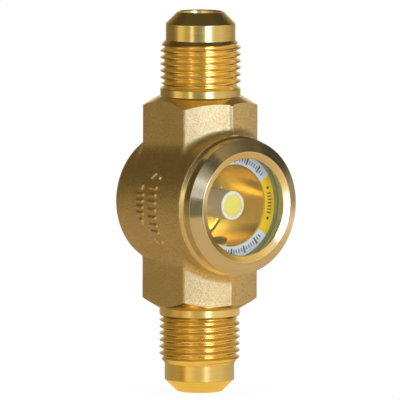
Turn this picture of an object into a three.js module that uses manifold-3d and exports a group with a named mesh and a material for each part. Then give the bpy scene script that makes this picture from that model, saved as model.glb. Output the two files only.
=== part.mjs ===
// Inline sight glass for a refrigerant line: a forged brass body with a male flare connection at each end,
// and a round glass window over a moisture indicator on one side.
// Units are millimetres. Z runs along the pipe, and the window faces -Y.
// Every piece is modelled about the pipe axis, with the sight tube's axis along Y through z = 0. The whole
// assembly is then moved along Y so that the middle of its overall box lies on the origin.
import * as THREE from "three";
import { mergeVertices } from "three/addons/utils/BufferGeometryUtils.js";
import Module from "manifold-3d";

const wasm = await Module();
wasm.setup();

// ---- driving dimensions ----------------------------------------------------------------------
const ROUND = 40; // sides of a full circle
const GAP = 0.05; // clearance between pieces that rest on each other

// flare ends, for a 1/2 inch tube: 3/4-16 UNF thread and a 45 degree seat
const HALF_LENGTH = 45.1;
const THREAD_PITCH = 25.4 / 16;
const THREAD_R = 19.05 / 2;
const ROOT_R = 8.55;
const PILOT_R = 8.25; // plain nose between the thread and the seat
const NOSE_TIP_R = 5.45;
const MOUTH_R = 4.85;
const PORT_R = 4.7;
const SEAT_Z = HALF_LENGTH - (PILOT_R - NOSE_TIP_R); // where the 45 degree seat meets the nose
const THREAD_TOP_Z = 38.4;
const THREAD_START_Z = 27.4;
const COLLAR_TOP_Z = 26.85;
const COLLAR_BOTTOM_Z = 24.95;

// six-sided neck: two spanner flats and four crowned faces that meet on the die parting line
const FLAT_X = 11.1;
const CORNER_Y = 8.0;
const RIDGE_Y = 12.2;
const CROWN = 0.3; // how far a crowned face stands out from its chord
const NECK_SHOULDER_Z = 22.56; // height of the neck's outer corners
const NECK_CORNER_R = Math.hypot(FLAT_X, CORNER_Y);

// sight tube: distances "ahead" are from the pipe axis towards the window
const TUBE_FRONT_R = 16.75;
const TUBE_BACK_R = 15.8;
const TUBE_BACK = -13.7;
const TUBE_FORGED_END = 13.4;
const TUBE_FACE = 14.1;
const LAND_R = 16.6; // the machined bevel runs from here in to the front face
const LAND_FACE_R = 15.95;
const TUBE_EDGE_ROUND = 2.5;
const CHAMBER_R = 9.65;
const CHAMBER_FLOOR = -6.2;
const SCALE_SEAT = 9.25; // land that the scale ring rests on
const SCALE_SEAT_R = 12.65;
const SEAL_SEAT = 8.5; // bottom of the groove that takes the seal
const SOCKET_R = 15.05; // counterbore that takes the bezel's skirt
const POST_HOLE_R = 2.2;
const POST_HOLE_DEPTH = 3.2;

// window stack
const GLASS_R = 13.6;
const GLASS_THICK = 6.9;
const SCALE_THICK = 0.4;
const SCALE_INNER_R = 9.75;
const SCALE_OUTER_R = 12.55;
const SEAL_INNER_R = 12.75;
const SEAL_OUTER_R = 14.85;
const WASHER_THICK = 0.25;
const WASHER_INNER_R = 11.7;
const GLASS_BACK = SCALE_SEAT + SCALE_THICK + 2 * GAP;
const GLASS_FRONT = GLASS_BACK + GLASS_THICK;

// bezel
const BEZEL_R = 15.95;
const BEZEL_BACK = TUBE_FACE + GAP;
const BEZEL_SHOULDER = 16.4; // where the outer cone starts
const BEZEL_CREST = 18.0;
const BEZEL_CREST_R = 13.1;
const BEZEL_LIP = 17.35;
const BEZEL_LIP_R = 11.5;
const BEZEL_SKIRT_END = 10.0;
const BEZEL_SKIRT_R = 14.9;
const BEZEL_BORE_R = 13.75;

// moisture indicator
const POST_R = 3.43;
const POST_FRONT = GLASS_BACK - GAP;
const POST_EDGE = 0.15; // rounding of the post's front edge
const RECESS_R = 2.66;
const RECESS_DEPTH = 0.6;
const PAPER_R = 2.6;
const PAPER_THICK = 0.45;

// ---- helpers ---------------------------------------------------------------------------------

// A closed three.js geometry as a manifold-3d solid.
function solid(geometry) {
  const bare = geometry.clone();
  bare.deleteAttribute("normal");
  bare.deleteAttribute("uv");
  const merged = mergeVertices(bare, 1e-4);
  const mesh = new wasm.Mesh({
    numProp: 3,
    vertProperties: merged.attributes.position.array,
    triVerts: new Uint32Array(merged.index.array),
  });
  mesh.merge();
  return new wasm.Manifold(mesh);
}

// A manifold-3d solid as a named three.js mesh.
function piece(name, body, material) {
  const data = body.getMesh();
  const positions = new Float32Array(data.numVert * 3);
  for (let i = 0; i < data.numVert; i++) {
    positions.set(data.vertProperties.subarray(i * data.numProp, i * data.numProp + 3), i * 3);
  }
  const geometry = new THREE.BufferGeometry();
  geometry.setAttribute("position", new THREE.BufferAttribute(positions, 3));
  geometry.setIndex(new THREE.BufferAttribute(data.triVerts, 1));
  geometry.computeVertexNormals();
  const mesh = new THREE.Mesh(geometry, material);
  mesh.name = name;
  return mesh;
}

// A profile of [radius, height] pairs, listed upwards along the outside, turned about Z.
function turned(profile, sides = ROUND) {
  const points = profile.map(([r, h]) => new THREE.Vector2(r, h));
  return solid(new THREE.LatheGeometry(points, sides).rotateX(Math.PI / 2));
}

// A profile of [radius, ahead] pairs, listed forwards along the outside, turned about the sight tube's axis.
function turnedAhead(profile, sides = ROUND) {
  const points = profile.map(([r, ahead]) => new THREE.Vector2(r, ahead));
  return solid(new THREE.LatheGeometry(points, sides).rotateX(Math.PI));
}

// The same solid turned end for end about X, for the lower half of the body.
const flipped = (body) => body.rotate([180, 0, 0]);

// A flat-sided ring between two radii, from one distance ahead to another.
function ring(inner, outer, from, to) {
  return turnedAhead([[inner, from], [outer, from], [outer, to], [inner, to], [inner, from]]);
}

// A flat-sided disc, from one distance ahead to another.
function disc(radius, from, to) {
  return turnedAhead([[0, from], [radius, from], [radius, to], [0, to]]);
}

// ---- body ------------------------------------------------------------------------------------

// A solid rod with a right-hand thread all along it. Its two ends are left as rough cones, to be cut away.
function threadedRod(fromZ, turns) {
  const stepsPerTurn = 20;
  const crestHalf = 0.1;
  const rootHalf = THREAD_PITCH / 2 - crestHalf - (THREAD_R - ROOT_R) * Math.tan(Math.PI / 6);
  const lift = [-THREAD_PITCH / 2 - rootHalf, -THREAD_PITCH / 2 + rootHalf, -crestHalf, crestHalf];
  const radii = [ROOT_R, ROOT_R, THREAD_R, THREAD_R];
  const rowsPerTurn = lift.length;
  const rows = turns * rowsPerTurn;
  const positions = [];
  const vertexAt = new Map();
  for (let column = 0; column < stepsPerTurn; column++) {
    const angle = (column / stepsPerTurn) * 2 * Math.PI;
    const lastRow = column === 0 ? rows + rowsPerTurn : rows;
    for (let row = 0; row <= lastRow; row++) {
      const turn = Math.floor(row / rowsPerTurn) + column / stepsPerTurn;
      const k = row % rowsPerTurn;
      vertexAt.set(column + "," + row, positions.length / 3);
      positions.push(radii[k] * Math.cos(angle), radii[k] * Math.sin(angle));
      positions.push(fromZ + turn * THREAD_PITCH + lift[k]);
    }
  }
  // The last column joins on to the first one, a turn higher up.
  const vertex = (column, row) =>
    column === stepsPerTurn ? vertexAt.get("0," + (row + rowsPerTurn)) : vertexAt.get(column + "," + row);
  const index = [];
  for (let column = 0; column < stepsPerTurn; column++) {
    for (let row = 0; row < rows; row++) {
      const a = vertex(column, row);
      const b = vertex(column + 1, row);
      const c = vertex(column + 1, row + 1);
      const d = vertex(column, row + 1);
      index.push(a, b, c, a, c, d);
    }
  }
  const bottomTip = positions.length / 3;
  positions.push(0, 0, fromZ - 2 * THREAD_PITCH);
  const topTip = positions.length / 3;
  positions.push(0, 0, fromZ + (turns + 2) * THREAD_PITCH);
  for (let column = 0; column < stepsPerTurn; column++) {
    index.push(vertex(column + 1, 0), vertex(column, 0), bottomTip);
    index.push(vertex(column, rows), vertex(column + 1, rows), topTip);
  }
  for (let row = 0; row < rowsPerTurn; row++) {
    index.push(vertex(0, row), vertex(0, row + 1), bottomTip);
    index.push(vertex(0, rows + row + 1), vertex(0, rows + row), topTip);
  }
  const geometry = new THREE.BufferGeometry();
  geometry.setAttribute("position", new THREE.Float32BufferAttribute(positions, 3));
  geometry.setIndex(index);
  return solid(geometry);
}

// The upper connection without its port: collar, thread, plain nose and 45 degree seat.
function flareEnd() {
  const reliefZ = COLLAR_TOP_Z + (THREAD_R - ROOT_R);
  const threadEndZ = THREAD_TOP_Z - (THREAD_R - PILOT_R);
  const collar = turned([
    [0, NECK_SHOULDER_Z - 3],
    [THREAD_R, NECK_SHOULDER_Z - 3],
    [THREAD_R, COLLAR_TOP_Z],
    [ROOT_R, reliefZ],
    [0, reliefZ],
  ]);
  const nose = turned([
    [0, threadEndZ - 1],
    [PILOT_R, threadEndZ - 1],
    [PILOT_R, SEAT_Z],
    [NOSE_TIP_R, HALF_LENGTH],
    [0, HALF_LENGTH],
  ]);
  const threadEnvelope = turned([
    [0, COLLAR_TOP_Z - 0.5],
    [ROOT_R - 0.1, COLLAR_TOP_Z - 0.5],
    [ROOT_R + 0.2, reliefZ],
    [THREAD_R + 0.2, reliefZ + 0.9],
    [THREAD_R + 0.2, threadEndZ - 0.2],
    [PILOT_R, THREAD_TOP_Z],
    [0, THREAD_TOP_Z],
  ]);
  const turns = Math.ceil((THREAD_TOP_Z - COLLAR_TOP_Z) / THREAD_PITCH) + 1;
  const rod = threadedRod(THREAD_START_Z - 1.5 * THREAD_PITCH, turns);
  return collar.add(nose).add(rod.intersect(threadEnvelope));
}

// Outline of the neck, with four crowned faces drawn as arcs through their corners.
function neckOutline() {
  const crownSegments = 4;
  const outline = [];
  const crownedFace = (from, to) => {
    const chord = new THREE.Vector2().subVectors(to, from);
    const outward = new THREE.Vector2(chord.y, -chord.x).normalize();
    for (let i = 0; i < crownSegments; i++) {
      const t = i / crownSegments;
      const rise = 4 * CROWN * t * (1 - t);
      outline.push(from.clone().addScaledVector(chord, t).addScaledVector(outward, rise));
    }
  };
  const corners = [
    new THREE.Vector2(-FLAT_X, -CORNER_Y),
    new THREE.Vector2(0, -RIDGE_Y),
    new THREE.Vector2(FLAT_X, -CORNER_Y),
    new THREE.Vector2(FLAT_X, CORNER_Y),
    new THREE.Vector2(0, RIDGE_Y),
    new THREE.Vector2(-FLAT_X, CORNER_Y),
  ];
  crownedFace(corners[0], corners[1]);
  crownedFace(corners[1], corners[2]);
  outline.push(corners[2]);
  crownedFace(corners[3], corners[4]);
  crownedFace(corners[4], corners[5]);
  outline.push(corners[5]);
  return new THREE.Shape(outline);
}

// Both necks as one prism, its ends turned to a 30 degree chamfer that runs in to the collar.
function neck() {
  const slope = (COLLAR_BOTTOM_Z - NECK_SHOULDER_Z) / (NECK_CORNER_R - THREAD_R);
  const reach = NECK_CORNER_R + 2;
  const reachZ = NECK_SHOULDER_Z - 2 * slope;
  const prism = solid(
    new THREE.ExtrudeGeometry(neckOutline(), { depth: 2 * COLLAR_BOTTOM_Z, bevelEnabled: false })
      .translate(0, 0, -COLLAR_BOTTOM_Z),
  );
  const chamfered = turned([
    [0, -COLLAR_BOTTOM_Z],
    [THREAD_R, -COLLAR_BOTTOM_Z],
    [reach, -reachZ],
    [reach, reachZ],
    [THREAD_R, COLLAR_BOTTOM_Z],
    [0, COLLAR_BOTTOM_Z],
  ]);
  return prism.intersect(chamfered);
}

// The sight tube as forged and faced, still solid.
function sightTube() {
  const edge = TUBE_EDGE_ROUND;
  const roundedBack = [0, 1, 2, 3].map((i) => {
    const angle = (i / 3) * (Math.PI / 2);
    return [
      TUBE_BACK_R - edge + edge * Math.sin(angle),
      TUBE_BACK + edge - edge * Math.cos(angle),
    ];
  });
  return turnedAhead([
    [0, TUBE_BACK],
    ...roundedBack,
    [TUBE_FRONT_R, TUBE_FORGED_END],
    [LAND_R, TUBE_FORGED_END],
    [LAND_FACE_R, TUBE_FACE],
    [0, TUBE_FACE],
  ]);
}

// Everything that is cut out of the sight tube: socket, seal groove, scale seat, chamber and the post's hole.
function chamber() {
  return turnedAhead([
    [0, CHAMBER_FLOOR - POST_HOLE_DEPTH],
    [POST_HOLE_R, CHAMBER_FLOOR - POST_HOLE_DEPTH],
    [POST_HOLE_R, CHAMBER_FLOOR],
    [CHAMBER_R, CHAMBER_FLOOR],
    [CHAMBER_R, SCALE_SEAT],
    [SCALE_SEAT_R, SCALE_SEAT],
    [SCALE_SEAT_R, SEAL_SEAT],
    [SOCKET_R, SEAL_SEAT],
    [SOCKET_R, TUBE_FACE + 1],
    [0, TUBE_FACE + 1],
  ]);
}

// The port drilled through from end to end, opened out a little at each mouth.
function port() {
  const mouth = MOUTH_R - PORT_R;
  return turned([
    [0, -HALF_LENGTH - 1],
    [MOUTH_R, -HALF_LENGTH - 1],
    [MOUTH_R, -HALF_LENGTH],
    [PORT_R, -HALF_LENGTH + 2 * mouth],
    [PORT_R, HALF_LENGTH - 2 * mouth],
    [MOUTH_R, HALF_LENGTH],
    [MOUTH_R, HALF_LENGTH + 1],
    [0, HALF_LENGTH + 1],
  ]);
}

function body() {
  const upperEnd = flareEnd();
  const lowerEnd = flipped(upperEnd);
  return neck().add(sightTube()).add(upperEnd).add(lowerEnd).subtract(chamber()).subtract(port());
}

// ---- window ----------------------------------------------------------------------------------

// Closing ring: a coned face with a dished inner edge, and a skirt that sits in the body's socket.
function bezelRing() {
  return turnedAhead([
    [BEZEL_BORE_R, BEZEL_SKIRT_END],
    [BEZEL_SKIRT_R, BEZEL_SKIRT_END],
    [BEZEL_SKIRT_R, BEZEL_BACK],
    [BEZEL_R, BEZEL_BACK],
    [BEZEL_R, BEZEL_SHOULDER],
    [BEZEL_CREST_R, BEZEL_CREST],
    [BEZEL_LIP_R, BEZEL_LIP],
    [BEZEL_LIP_R, GLASS_FRONT + WASHER_THICK + 2 * GAP],
    [BEZEL_BORE_R, GLASS_FRONT + WASHER_THICK + 2 * GAP],
    [BEZEL_BORE_R, BEZEL_SKIRT_END],
  ]);
}

// Thick glass disc with its two edges ground off.
const sightWindow = () => {
  const edge = 0.3;
  return turnedAhead([
    [0, GLASS_BACK],
    [GLASS_R - edge, GLASS_BACK],
    [GLASS_R, GLASS_BACK + edge],
    [GLASS_R, GLASS_FRONT - edge],
    [GLASS_R - edge, GLASS_FRONT],
    [0, GLASS_FRONT],
  ]);
};

// Flat seal in the groove around the scale seat, squeezed by the rim of the glass.
const windowSeal = () => ring(SEAL_INNER_R, SEAL_OUTER_R, SEAL_SEAT + GAP, GLASS_BACK - GAP);

// Thin washer that lets the bezel turn on the glass without scoring it.
const slipWasher = () =>
  ring(WASHER_INNER_R, GLASS_R, GLASS_FRONT + GAP, GLASS_FRONT + GAP + WASHER_THICK);

// Printed ring that is read through the glass.
const scaleRing = () =>
  ring(SCALE_INNER_R, SCALE_OUTER_R, SCALE_SEAT + GAP, SCALE_SEAT + GAP + SCALE_THICK);

// ---- moisture indicator ----------------------------------------------------------------------

// Post: a foot pressed into the chamber floor, a plain shank, and a round recess in its front end.
const indicatorPost = () => {
  const floor = CHAMBER_FLOOR + GAP;
  const footR = POST_HOLE_R - GAP;
  const footEnd = CHAMBER_FLOOR - POST_HOLE_DEPTH + GAP;
  return turnedAhead([
    [0, footEnd],
    [footR, footEnd],
    [footR, floor],
    [POST_R, floor],
    [POST_R, POST_FRONT - POST_EDGE],
    [POST_R - POST_EDGE, POST_FRONT],
    [RECESS_R, POST_FRONT],
    [RECESS_R, POST_FRONT - RECESS_DEPTH],
    [0, POST_FRONT - RECESS_DEPTH],
  ]);
};

// Disc of indicating paper that lies in the recess.
const moisturePaper = () => {
  const back = POST_FRONT - RECESS_DEPTH + GAP;
  return disc(PAPER_R, back, back + PAPER_THICK);
};

// ---- materials -------------------------------------------------------------------------------

const finish = (color, roughness, metalness) =>
  new THREE.MeshStandardMaterial({ color, roughness, metalness });
const forgedBrass = finish(0xb08f4e, 0.5, 1.0);
const turnedBrass = finish(0xd0ad63, 0.22, 1.0);
const clearGlass = new THREE.MeshStandardMaterial({
  color: 0xe8f0ea,
  roughness: 0.02,
  metalness: 0.0,
  transparent: true,
  opacity: 0.3,
});
const greenRubber = finish(0x5c6546, 0.6, 0.0);
const whitePolymer = finish(0xe9e7df, 0.45, 0.0);
const printedCard = finish(0xdfe2e6, 0.5, 0.0);
const yellowPaper = finish(0xe6d65e, 0.85, 0.0);

// ---- assembly --------------------------------------------------------------------------------

const assembly = new THREE.Group();
assembly.add(
  piece("body", body(), forgedBrass),
  piece("bezel_ring", bezelRing(), turnedBrass),
  piece("sight_window", sightWindow(), clearGlass),
  piece("slip_washer", slipWasher(), whitePolymer),
  piece("window_seal", windowSeal(), greenRubber),
  piece("scale_ring", scaleRing(), printedCard),
  piece("indicator_post", indicatorPost(), whitePolymer),
  piece("moisture_paper", moisturePaper(), yellowPaper),
);
assembly.position.y = (BEZEL_CREST + TUBE_BACK) / 2;

const sightGlass = new THREE.Group();
sightGlass.add(assembly);

export default sightGlass;
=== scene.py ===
"""Looks of an inline refrigerant sight glass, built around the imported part.

Shapes are worked out in millimetres about the pipe axis: x to the right of someone who faces the window,
y away from the window, z up the pipe. place() turns them into metres in the part's own frame.
"""
import math

import bpy
import numpy as np
from mathutils import Matrix, Quaternion, Vector


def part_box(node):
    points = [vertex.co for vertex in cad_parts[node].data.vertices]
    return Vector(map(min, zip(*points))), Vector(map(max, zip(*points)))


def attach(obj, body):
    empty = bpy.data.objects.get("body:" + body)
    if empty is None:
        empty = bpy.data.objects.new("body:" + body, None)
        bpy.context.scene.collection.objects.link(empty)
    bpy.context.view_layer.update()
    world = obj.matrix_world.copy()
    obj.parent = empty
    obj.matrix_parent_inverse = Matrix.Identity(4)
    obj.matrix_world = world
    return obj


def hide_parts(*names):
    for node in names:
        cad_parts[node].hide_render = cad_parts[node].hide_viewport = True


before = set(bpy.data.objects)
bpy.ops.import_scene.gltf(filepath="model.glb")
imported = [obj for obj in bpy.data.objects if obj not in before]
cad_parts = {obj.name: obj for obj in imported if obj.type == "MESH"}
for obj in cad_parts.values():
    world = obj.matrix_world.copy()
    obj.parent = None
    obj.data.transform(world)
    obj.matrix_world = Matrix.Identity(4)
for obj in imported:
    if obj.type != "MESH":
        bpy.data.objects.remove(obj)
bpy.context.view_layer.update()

# ---- dimensions, mm ------------------------------------------------------------------------------------
MM = 0.001
TUBE_BACK = 13.7                                        # the sight tube's closed end, behind the pipe axis
PIPE_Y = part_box("body")[1].y / MM - TUBE_BACK           # where the pipe axis is in the part's frame
END_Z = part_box("body")[1].z / MM

# flare ends for a 1/2 inch tube: 3/4-16 UNF thread, plain nose and 45 degree seat
THREAD_PITCH = 25.4 / 16
THREAD_R = 9.525
ROOT_R = 8.55
CREST_HALF = 0.12                                       # half the width of a crest's flat
ROOT_SOFT = 0.10                                        # how far the roots are rounded
RUN_OUT = 0.85                                          # how steeply the crests drop to the nose
PILOT_R = 8.25
NOSE_TIP_R = 5.45
PORT_R = 4.7
THREAD_TOP_Z = 38.4
COLLAR_TOP_Z = 26.85
COLLAR_BOTTOM_Z = 24.95

# six-sided necks: two spanner flats, and four crowned faces that meet on the parting line
FLAT_X = 11.1
CORNER_Y = 8.0
RIDGE_Y = 12.2
CROWN = 0.40                                            # how far a crowned face stands out from its chord
NECK_EDGE_ROUND = 0.35
NECK_END_Z = 25.3                                       # before the shoulder is turned
SHOULDER_Z = 22.56                                      # the shoulder's height at the necks' outer corners
SHOULDER_FLAT_R = 9.7                                   # where the shoulder's cone starts

# sight tube: distances along the window's axis count from the pipe axis towards the window
TUBE_BACK_R = 15.8
TUBE_DRAFT = 0.95                                       # how much larger the radius is at the window
DRAFT_SPAN = 13.0                                       # how far the draft reaches to each side of the axis
TUBE_FORGED_END = 13.4
TUBE_EDGE_ROUND = 2.5
TUBE_FRONT_ROUND = 0.15
TUBE_FILLET = 1.9
SIDE_LIMIT = 16.73                                      # nothing stands out farther to either side
SEAM_END = 13.3
FLASH_AT = 12.3                                         # a blob of flash on the seam, over the window
MARK_HEIGHT = 0.38
MARK_R = 16.2                                           # the radius that the marks are laid out on
CHAMBER_R = 9.65
CHAMBER_FLOOR = -6.2
FOOT_HOLE_R, FOOT_HOLE_END = 2.2, -9.4
SCALE_SEAT_R, SCALE_SEAT = 12.65, 9.25
SOCKET_R, SEAL_SEAT = 15.05, 8.5
LAND_BACK_R, LAND_BACK = 15.9, 12.0
LAND_R, LAND_EDGE = 16.6, 13.3
FACE_R, FACE_INNER_R, FACE = 15.95, 15.3, 14.1

# pieces of the window
BEZEL_R, BEZEL_BACK, BEZEL_EDGE = 15.95, 14.15, 16.4
BEZEL_CREST_R, BEZEL_CREST = 13.1, 18.0
BEZEL_LIP_R, BEZEL_LIP_BACK, BEZEL_LIP = 11.5, 17.05, 17.35
BEZEL_BORE_R, BEZEL_SKIRT_R, BEZEL_SKIRT_END = 13.75, 14.9, 10.0
WASHER_INNER_R, WASHER_R, WASHER_BACK, WASHER_FRONT = 11.7, 13.6, 16.75, 17.0
GLASS_R, GLASS_BACK, GLASS_FRONT, GLASS_CHAMFER = 13.6, 9.75, 16.7, 0.3
SEAL_INNER_R, SEAL_R, SEAL_BACK, SEAL_FRONT = 12.75, 14.85, 8.55, 9.7
SCALE_INNER_R, SCALE_R, SCALE_BACK, SCALE_FRONT = 9.75, 12.55, 9.3, 9.7
POST_R, POST_BACK, POST_FRONT = 3.43, -6.15, 9.68
POST_FOOT_R, POST_FOOT_END = 2.15, -9.35
CUP_R, CUP_FLOOR = 2.66, 9.08                           # the hollow in the post that holds the paper
PAPER_R, PAPER_BACK, PAPER_EDGE, PAPER_CENTRE = 2.6, 9.13, 9.58, 9.61


# ---- mesh helpers --------------------------------------------------------------------------------------
def place(points):
    """Points in millimetres about the pipe axis as metres in the part's frame."""
    return (np.asarray(points, float) + (0.0, PIPE_Y, 0.0)) * MM


def mesh_object(name, points, faces, materials):
    """Object whose mesh is given in millimetres about the pipe axis."""
    mesh = bpy.data.meshes.new(name)
    mesh.from_pydata(place(points).tolist(), [], [list(map(int, f)) for f in faces])
    for material in materials:
        mesh.materials.append(material)
    mesh.update()
    obj = bpy.data.objects.new(name, mesh)
    bpy.context.scene.collection.objects.link(obj)
    return obj


def shade(obj, angle=30.0):
    """Smooth shading that keeps the edges sharper than the angle."""
    obj.data.shade_smooth()
    obj.data.set_sharp_from_angle(angle=math.radians(angle))
    return obj


def arc_corner(before, corner, after, radius, steps):
    """Points of a rounded corner between two straight profile lines."""
    p, a, b = (np.array(v, float) for v in (corner, before, after))
    u, v = (a - p), (b - p)
    lu, lv = np.linalg.norm(u), np.linalg.norm(v)
    u, v = u / lu, v / lv
    half = math.acos(max(-1.0, min(1.0, float(u @ v)))) / 2
    reach = min(radius / math.tan(half), 0.48 * lu, 0.48 * lv)
    radius = reach * math.tan(half)
    centre = p + (u + v) / np.linalg.norm(u + v) * radius / math.sin(half)
    start, end = p + u * reach, p + v * reach
    a0 = math.atan2(*(start - centre)[::-1])
    a1 = math.atan2(*(end - centre)[::-1])
    turn = (a1 - a0 + math.pi) % (2 * math.pi) - math.pi
    angles = [a0 + turn * i / steps for i in range(steps + 1)]
    return [(centre[0] + radius * math.cos(t), centre[1] + radius * math.sin(t)) for t in angles]


def rounded(profile, steps=4):
    """A profile of (radius, along, corner radius) with its corners turned into arcs, and with extra rows near
    the ends of each long line, which keep the shading of a straight face straight."""
    long_line, near, far = 0.6, 0.06, 0.12
    points = []
    for i, (r, h, fillet) in enumerate(profile):
        if fillet and 0 < i < len(profile) - 1:
            points += arc_corner(profile[i - 1][:2], (r, h), profile[i + 1][:2], fillet, steps)
        else:
            points.append((r, h))
    rows = points[:1]
    for a, b in zip(points, points[1:]):
        length = math.hypot(b[0] - a[0], b[1] - a[1])
        if length > long_line:
            for t in (near / length, far / length, 1 - far / length, 1 - near / length):
                rows.append((a[0] + (b[0] - a[0]) * t, a[1] + (b[1] - a[1]) * t))
        rows.append(b)
    return rows


def turned(profile, sides=192, axis="z"):
    """Points and faces of a profile of (radius, along) turned about the pipe axis, or about the window's
    axis with along measured towards the window. An open profile starts and ends on the axis."""
    closed = profile[0] == profile[-1]
    rows = profile[:-1] if closed else profile
    angles = np.arange(sides) * 2 * math.pi / sides
    points, rings = [], []
    for r, h in rows:
        if r < 1e-9:
            rings.append([len(points)])
            points.append((0.0, 0.0, h))
        else:
            rings.append(list(range(len(points), len(points) + sides)))
            points += [(r * math.cos(t), r * math.sin(t), h) for t in angles]
    faces = []
    pairs = list(zip(rings, rings[1:] + rings[:1])) if closed else list(zip(rings, rings[1:]))
    for low, high in pairs:
        for i in range(sides):
            j = (i + 1) % sides
            if len(low) == 1 and len(high) == 1:
                continue
            if len(low) == 1:
                faces.append((low[0], high[j], high[i]))
            elif len(high) == 1:
                faces.append((low[i], low[j], high[0]))
            else:
                faces.append((low[i], low[j], high[j], high[i]))
    points = np.array(points)
    if axis == "y":
        points = np.stack([points[:, 0], -points[:, 2], points[:, 1]], 1)
    return points, faces


def turned_object(name, profile, material, sides=192, axis="z"):
    """Turned piece of one material, shaded smooth between its corners."""
    return shade(mesh_object(name, *turned(profile, sides, axis), [material]))


def combine(obj, others, operation):
    """Boolean of closed meshes; new faces keep the material of the mesh they come from."""
    for other in others:
        modifier = obj.modifiers.new("combine", "BOOLEAN")
        modifier.operation = operation
        modifier.solver = "MANIFOLD"
        modifier.material_mode = "TRANSFER"
        modifier.object = other
    bpy.context.view_layer.update()
    result = bpy.data.meshes.new_from_object(obj.evaluated_get(bpy.context.evaluated_depsgraph_get()))
    result.name = obj.name
    obj.modifiers.clear()
    obj.data = result
    for other in others:
        bpy.data.objects.remove(other)
    return obj


# ---- node helpers --------------------------------------------------------------------------------------
class Graph:
    """Short names for the nodes that the materials and the surroundings are made of."""

    def __init__(self, tree):
        self.tree = tree
        tree.nodes.clear()

    def node(self, kind, inputs=(), **settings):
        node = self.tree.nodes.new(kind)
        for key, value in settings.items():
            setattr(node, key, value)
        for key, value in dict(inputs).items():
            self.put(node.inputs[key], value)
        return node

    def put(self, socket, value):
        if isinstance(value, bpy.types.NodeSocket):
            self.tree.links.new(value, socket)
        elif value is not None:
            socket.default_value = value

    def math(self, operation, *values):
        node = self.node("ShaderNodeMath", operation=operation)
        for socket, value in zip(node.inputs, values):
            self.put(socket, value)
        return node.outputs[0]

    def add(self, a, b):
        return self.math("ADD", a, b)

    def sub(self, a, b):
        return self.math("SUBTRACT", a, b)

    def mul(self, a, b):
        return self.math("MULTIPLY", a, b)

    def smooth(self, value, low, high, to_low=0.0, to_high=1.0):
        inputs = {"Value": value, "From Min": low, "From Max": high, "To Min": to_low, "To Max": to_high}
        return self.node("ShaderNodeMapRange", inputs, interpolation_type="SMOOTHSTEP").outputs[0]

    def window(self, value, low, high, soft):
        """1 between low and high, fading to 0 over soft on each side."""
        rise = self.smooth(value, low - soft, low + soft)
        return self.mul(rise, self.smooth(value, high - soft, high + soft, 1.0, 0.0))

    def mix(self, factor, a, b):
        node = self.node("ShaderNodeMix", data_type="RGBA")
        self.put(node.inputs["Factor"], factor)
        self.put(node.inputs[6], colour(a))
        self.put(node.inputs[7], colour(b))
        return node.outputs[2]

    def ramp(self, factor, stops):
        node = self.node("ShaderNodeValToRGB", {"Fac": factor})
        node.color_ramp.interpolation = "LINEAR"
        elements = node.color_ramp.elements
        while len(elements) > 1:
            elements.remove(elements[-1])
        elements[0].position, elements[0].color = stops[0][0], colour(stops[0][1])
        for position, value in stops[1:]:
            elements.new(position).color = colour(value)
        return node.outputs[0]

    def ramp_between(self, value, low, high, stops):
        """Colour ramp over a range of the value, from stops of (value, colour)."""
        factor = self.add(self.mul(value, 1 / (high - low)), -low / (high - low))
        return self.ramp(factor, [((at - low) / (high - low), tone) for at, tone in stops])

    def length(self, a, b):
        """Length of the hypotenuse over a and b."""
        return self.math("SQRT", self.add(self.mul(a, a), self.mul(b, b)))

    def vector(self, x, y, z):
        return self.node("ShaderNodeCombineXYZ", {"X": x, "Y": y, "Z": z}).outputs[0]

    def parts(self, vector):
        return self.node("ShaderNodeSeparateXYZ", {"Vector": vector}).outputs

    def noise(self, vector, scale, detail=2.0, roughness=0.5):
        inputs = {"Vector": vector, "Scale": scale, "Detail": detail, "Roughness": roughness}
        return self.node("ShaderNodeTexNoise", inputs).outputs[0]

    def bump(self, height, strength, distance_mm, normal=None):
        inputs = {"Height": height, "Strength": strength, "Distance": distance_mm * MM, "Normal": normal}
        return self.node("ShaderNodeBump", inputs).outputs[0]

    def place_mm(self):
        """Position in millimetres about the pipe axis."""
        position = self.node("ShaderNodeTexCoord").outputs["Object"]
        x, y, z = self.parts(position)
        return (self.mul(x, 1000.0), self.sub(self.mul(y, 1000.0), PIPE_Y), self.mul(z, 1000.0))


def colour(value):
    """A grey level or a colour of three as the four numbers that a socket takes; sockets pass through."""
    if isinstance(value, (tuple, list)) and len(value) == 3:
        return (*value, 1.0)
    if isinstance(value, (int, float)):
        return (value, value, value, 1.0)
    return value


def srgb(r, g, b):
    """An 0-255 screen colour as a linear one."""
    return tuple(c / 12.92 if c <= 0.04045 else ((c + 0.055) / 1.055) ** 2.4 for c in (r / 255, g / 255, b / 255))


def material(name):
    """A new material and the graph of its nodes."""
    made = bpy.data.materials.new(name)
    made.use_nodes = True
    return made, Graph(made.node_tree)


def principled(graph, **inputs):
    """Principled shader, with its inputs given as keywords, joined to the material's output."""
    names = {"color": "Base Color"}
    inputs = {names.get(k, k.replace("_", " ").title()): v for k, v in inputs.items()}
    shader = graph.node("ShaderNodeBsdfPrincipled", inputs)
    graph.node("ShaderNodeOutputMaterial", {"Surface": shader.outputs[0]})


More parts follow.
